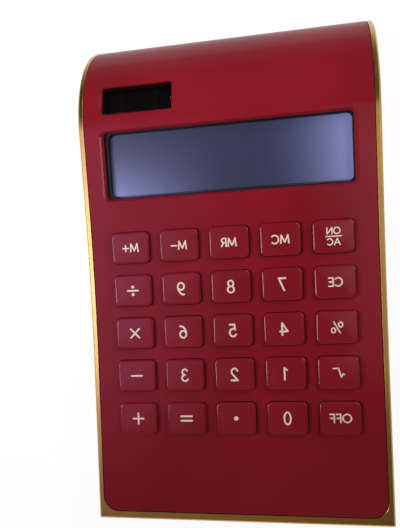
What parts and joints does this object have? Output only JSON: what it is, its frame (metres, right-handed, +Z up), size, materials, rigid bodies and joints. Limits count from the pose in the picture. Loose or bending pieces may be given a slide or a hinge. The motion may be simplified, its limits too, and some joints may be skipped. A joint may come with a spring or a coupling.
{
  "type": "desktop calculator",
  "caption": "Desktop calculator with a curved lacquered cover in a gilt frame, sprung keys, a wide display, a solar cell and a battery hatch.",
  "frame": {"origin": "centre of the bounding box at the desk surface, under the rubber feet", "axes": "+Z up, +Y away from the user towards the display and the rolled back, +X across the keys to the picture's right"},
  "size_m": [0.106, 0.184, 0.0325],
  "materials": {
    "lacquer": "deep red high-gloss lacquer",
    "gilt": "satin gilt plating on plastic",
    "black_plastic": "matt black",
    "base_plastic": "fine-textured black",
    "clear_acrylic": "clear, polished",
    "display_glass": "grey-blue reflective display",
    "foil": "satin foil",
    "silicone": "grey silicone",
    "smoked_acrylic": "smoked, polished",
    "solar_glass": "dark cell glass",
    "laminate": "green solder mask",
    "resin": "black resin",
    "cell_sleeve": "plain shrink sleeve",
    "steel": "nickel-plated steel",
    "rubber": "black rubber"
  },
  "bodies": {
    "housing": {"base_plate": "base_plastic", "battery_cell": "cell_sleeve", "battery_contact": "steel", "battery_spring": "steel", "board_screw_1": "steel", "board_screw_2": "steel", "board_screw_3": "steel", "board_screw_4": "steel", "board_screw_5": "steel", "board_screw_6": "steel", "capacitor": "resin", "case_screw_1": "steel", "case_screw_2": "steel", "case_screw_3": "steel", "case_screw_4": "steel", "chip_blob": "resin", "circuit_board": "laminate", "contact_strip": "silicone", "display_bezel": "black_plastic", "display_lens": "clear_acrylic", "front_cover": "lacquer", "key_mat": "silicone", "lcd_glass": "display_glass", "lcd_reflector": "foil", "rubber_foot_1": "rubber", "rubber_foot_2": "rubber", "rubber_foot_3": "rubber", "rubber_foot_4": "rubber", "solar_cell": "solar_glass", "solar_window": "smoked_acrylic", "trim_frame": "gilt"},
    "battery_door": {"battery_door": "base_plastic"},
    "key_m_plus": {"key_m_plus": "lacquer"},
    "key_m_minus": {"key_m_minus": "lacquer"},
    "key_mr": {"key_mr": "lacquer"},
    "key_mc": {"key_mc": "lacquer"},
    "key_on_ac": {"key_on_ac": "lacquer"},
    "key_divide": {"key_divide": "lacquer"},
    "key_9": {"key_9": "lacquer"},
    "key_8": {"key_8": "lacquer"},
    "key_7": {"key_7": "lacquer"},
    "key_ce": {"key_ce": "lacquer"},
    "key_multiply": {"key_multiply": "lacquer"},
    "key_6": {"key_6": "lacquer"},
    "key_5": {"key_5": "lacquer"},
    "key_4": {"key_4": "lacquer"},
    "key_percent": {"key_percent": "lacquer"},
    "key_subtract": {"key_subtract": "lacquer"},
    "key_3": {"key_3": "lacquer"},
    "key_2": {"key_2": "lacquer"},
    "key_1": {"key_1": "lacquer"},
    "key_root": {"key_root": "lacquer"},
    "key_add": {"key_add": "lacquer"},
    "key_equals": {"key_equals": "lacquer"},
    "key_point": {"key_point": "lacquer"},
    "key_0": {"key_0": "lacquer"},
    "key_off": {"key_off": "lacquer"}
  },
  "joints": [
    {"name": "key_m_plus_press", "type": "slide", "parent": "housing", "child": "key_m_plus", "axis": [0, 0.184, -0.9829], "range_m": [0, 0.0012], "stiffness_N_per_m": 450, "deforming": ["key_mat"]},
    {"name": "key_m_minus_press", "type": "slide", "parent": "housing", "child": "key_m_minus", "axis": [0, 0.184, -0.9829], "range_m": [0, 0.0012], "stiffness_N_per_m": 450, "deforming": ["key_mat"]},
    {"name": "key_mr_press", "type": "slide", "parent": "housing", "child": "key_mr", "axis": [0, 0.184, -0.9829], "range_m": [0, 0.0012], "stiffness_N_per_m": 450, "deforming": ["key_mat"]},
    {"name": "key_mc_press", "type": "slide", "parent": "housing", "child": "key_mc", "axis": [0, 0.184, -0.9829], "range_m": [0, 0.0012], "stiffness_N_per_m": 450, "deforming": ["key_mat"]},
    {"name": "key_on_ac_press", "type": "slide", "parent": "housing", "child": "key_on_ac", "axis": [0, 0.184, -0.9829], "range_m": [0, 0.0012], "stiffness_N_per_m": 450, "deforming": ["key_mat"]},
    {"name": "key_divide_press", "type": "slide", "parent": "housing", "child": "key_divide", "axis": [0, 0.156, -0.9878], "range_m": [0, 0.0012], "stiffness_N_per_m": 450, "deforming": ["key_mat"]},
    {"name": "key_9_press", "type": "slide", "parent": "housing", "child": "key_9", "axis": [0, 0.156, -0.9878], "range_m": [0, 0.0012], "stiffness_N_per_m": 450, "deforming": ["key_mat"]},
    {"name": "key_8_press", "type": "slide", "parent": "housing", "child": "key_8", "axis": [0, 0.156, -0.9878], "range_m": [0, 0.0012], "stiffness_N_per_m": 450, "deforming": ["key_mat"]},
    {"name": "key_7_press", "type": "slide", "parent": "housing", "child": "key_7", "axis": [0, 0.156, -0.9878], "range_m": [0, 0.0012], "stiffness_N_per_m": 450, "deforming": ["key_mat"]},
    {"name": "key_ce_press", "type": "slide", "parent": "housing", "child": "key_ce", "axis": [0, 0.156, -0.9878], "range_m": [0, 0.0012], "stiffness_N_per_m": 450, "deforming": ["key_mat"]},
    {"name": "key_multiply_press", "type": "slide", "parent": "housing", "child": "key_multiply", "axis": [0, 0.1279, -0.9918], "range_m": [0, 0.0012], "stiffness_N_per_m": 450, "deforming": ["key_mat"]},
    {"name": "key_6_press", "type": "slide", "parent": "housing", "child": "key_6", "axis": [0, 0.1279, -0.9918], "range_m": [0, 0.0012], "stiffness_N_per_m": 450, "deforming": ["key_mat"]},
    {"name": "key_5_press", "type": "slide", "parent": "housing", "child": "key_5", "axis": [0, 0.1279, -0.9918], "range_m": [0, 0.0012], "stiffness_N_per_m": 450, "deforming": ["key_mat"]},
    {"name": "key_4_press", "type": "slide", "parent": "housing", "child": "key_4", "axis": [0, 0.1279, -0.9918], "range_m": [0, 0.0012], "stiffness_N_per_m": 450, "deforming": ["key_mat"]},
    {"name": "key_percent_press", "type": "slide", "parent": "housing", "child": "key_percent", "axis": [0, 0.1279, -0.9918], "range_m": [0, 0.0012], "stiffness_N_per_m": 450, "deforming": ["key_mat"]},
    {"name": "key_subtract_press", "type": "slide", "parent": "housing", "child": "key_subtract", "axis": [0, 0.1045, -0.9945], "range_m": [0, 0.0012], "stiffness_N_per_m": 450, "deforming": ["key_mat"]},
    {"name": "key_3_press", "type": "slide", "parent": "housing", "child": "key_3", "axis": [0, 0.1045, -0.9945], "range_m": [0, 0.0012], "stiffness_N_per_m": 450, "deforming": ["key_mat"]},
    {"name": "key_2_press", "type": "slide", "parent": "housing", "child": "key_2", "axis": [0, 0.1045, -0.9945], "range_m": [0, 0.0012], "stiffness_N_per_m": 450, "deforming": ["key_mat"]},
    {"name": "key_1_press", "type": "slide", "parent": "housing", "child": "key_1", "axis": [0, 0.1045, -0.9945], "range_m": [0, 0.0012], "stiffness_N_per_m": 450, "deforming": ["key_mat"]},
    {"name": "key_root_press", "type": "slide", "parent": "housing", "child": "key_root", "axis": [0, 0.1045, -0.9945], "range_m": [0, 0.0012], "stiffness_N_per_m": 450, "deforming": ["key_mat"]},
    {"name": "key_add_press", "type": "slide", "parent": "housing", "child": "key_add", "axis": [0, 0.1045, -0.9945], "range_m": [0, 0.0012], "stiffness_N_per_m": 450, "deforming": ["key_mat"]},
    {"name": "key_equals_press", "type": "slide", "parent": "housing", "child": "key_equals", "axis": [0, 0.1045, -0.9945], "range_m": [0, 0.0012], "stiffness_N_per_m": 450, "deforming": ["key_mat"]},
    {"name": "key_point_press", "type": "slide", "parent": "housing", "child": "key_point", "axis": [0, 0.1045, -0.9945], "range_m": [0, 0.0012], "stiffness_N_per_m": 450, "deforming": ["key_mat"]},
    {"name": "key_0_press", "type": "slide", "parent": "housing", "child": "key_0", "axis": [0, 0.1045, -0.9945], "range_m": [0, 0.0012], "stiffness_N_per_m": 450, "deforming": ["key_mat"]},
    {"name": "key_off_press", "type": "slide", "parent": "housing", "child": "key_off", "axis": [0, 0.1045, -0.9945], "range_m": [0, 0.0012], "stiffness_N_per_m": 450, "deforming": ["key_mat"]},
    {"name": "battery_door_swing", "type": "hinge", "parent": "housing", "child": "battery_door", "pos_m": [0, 0.03413, 0.001], "axis": [-1, 0, 0], "range_deg": [0, 70]}
  ]
}
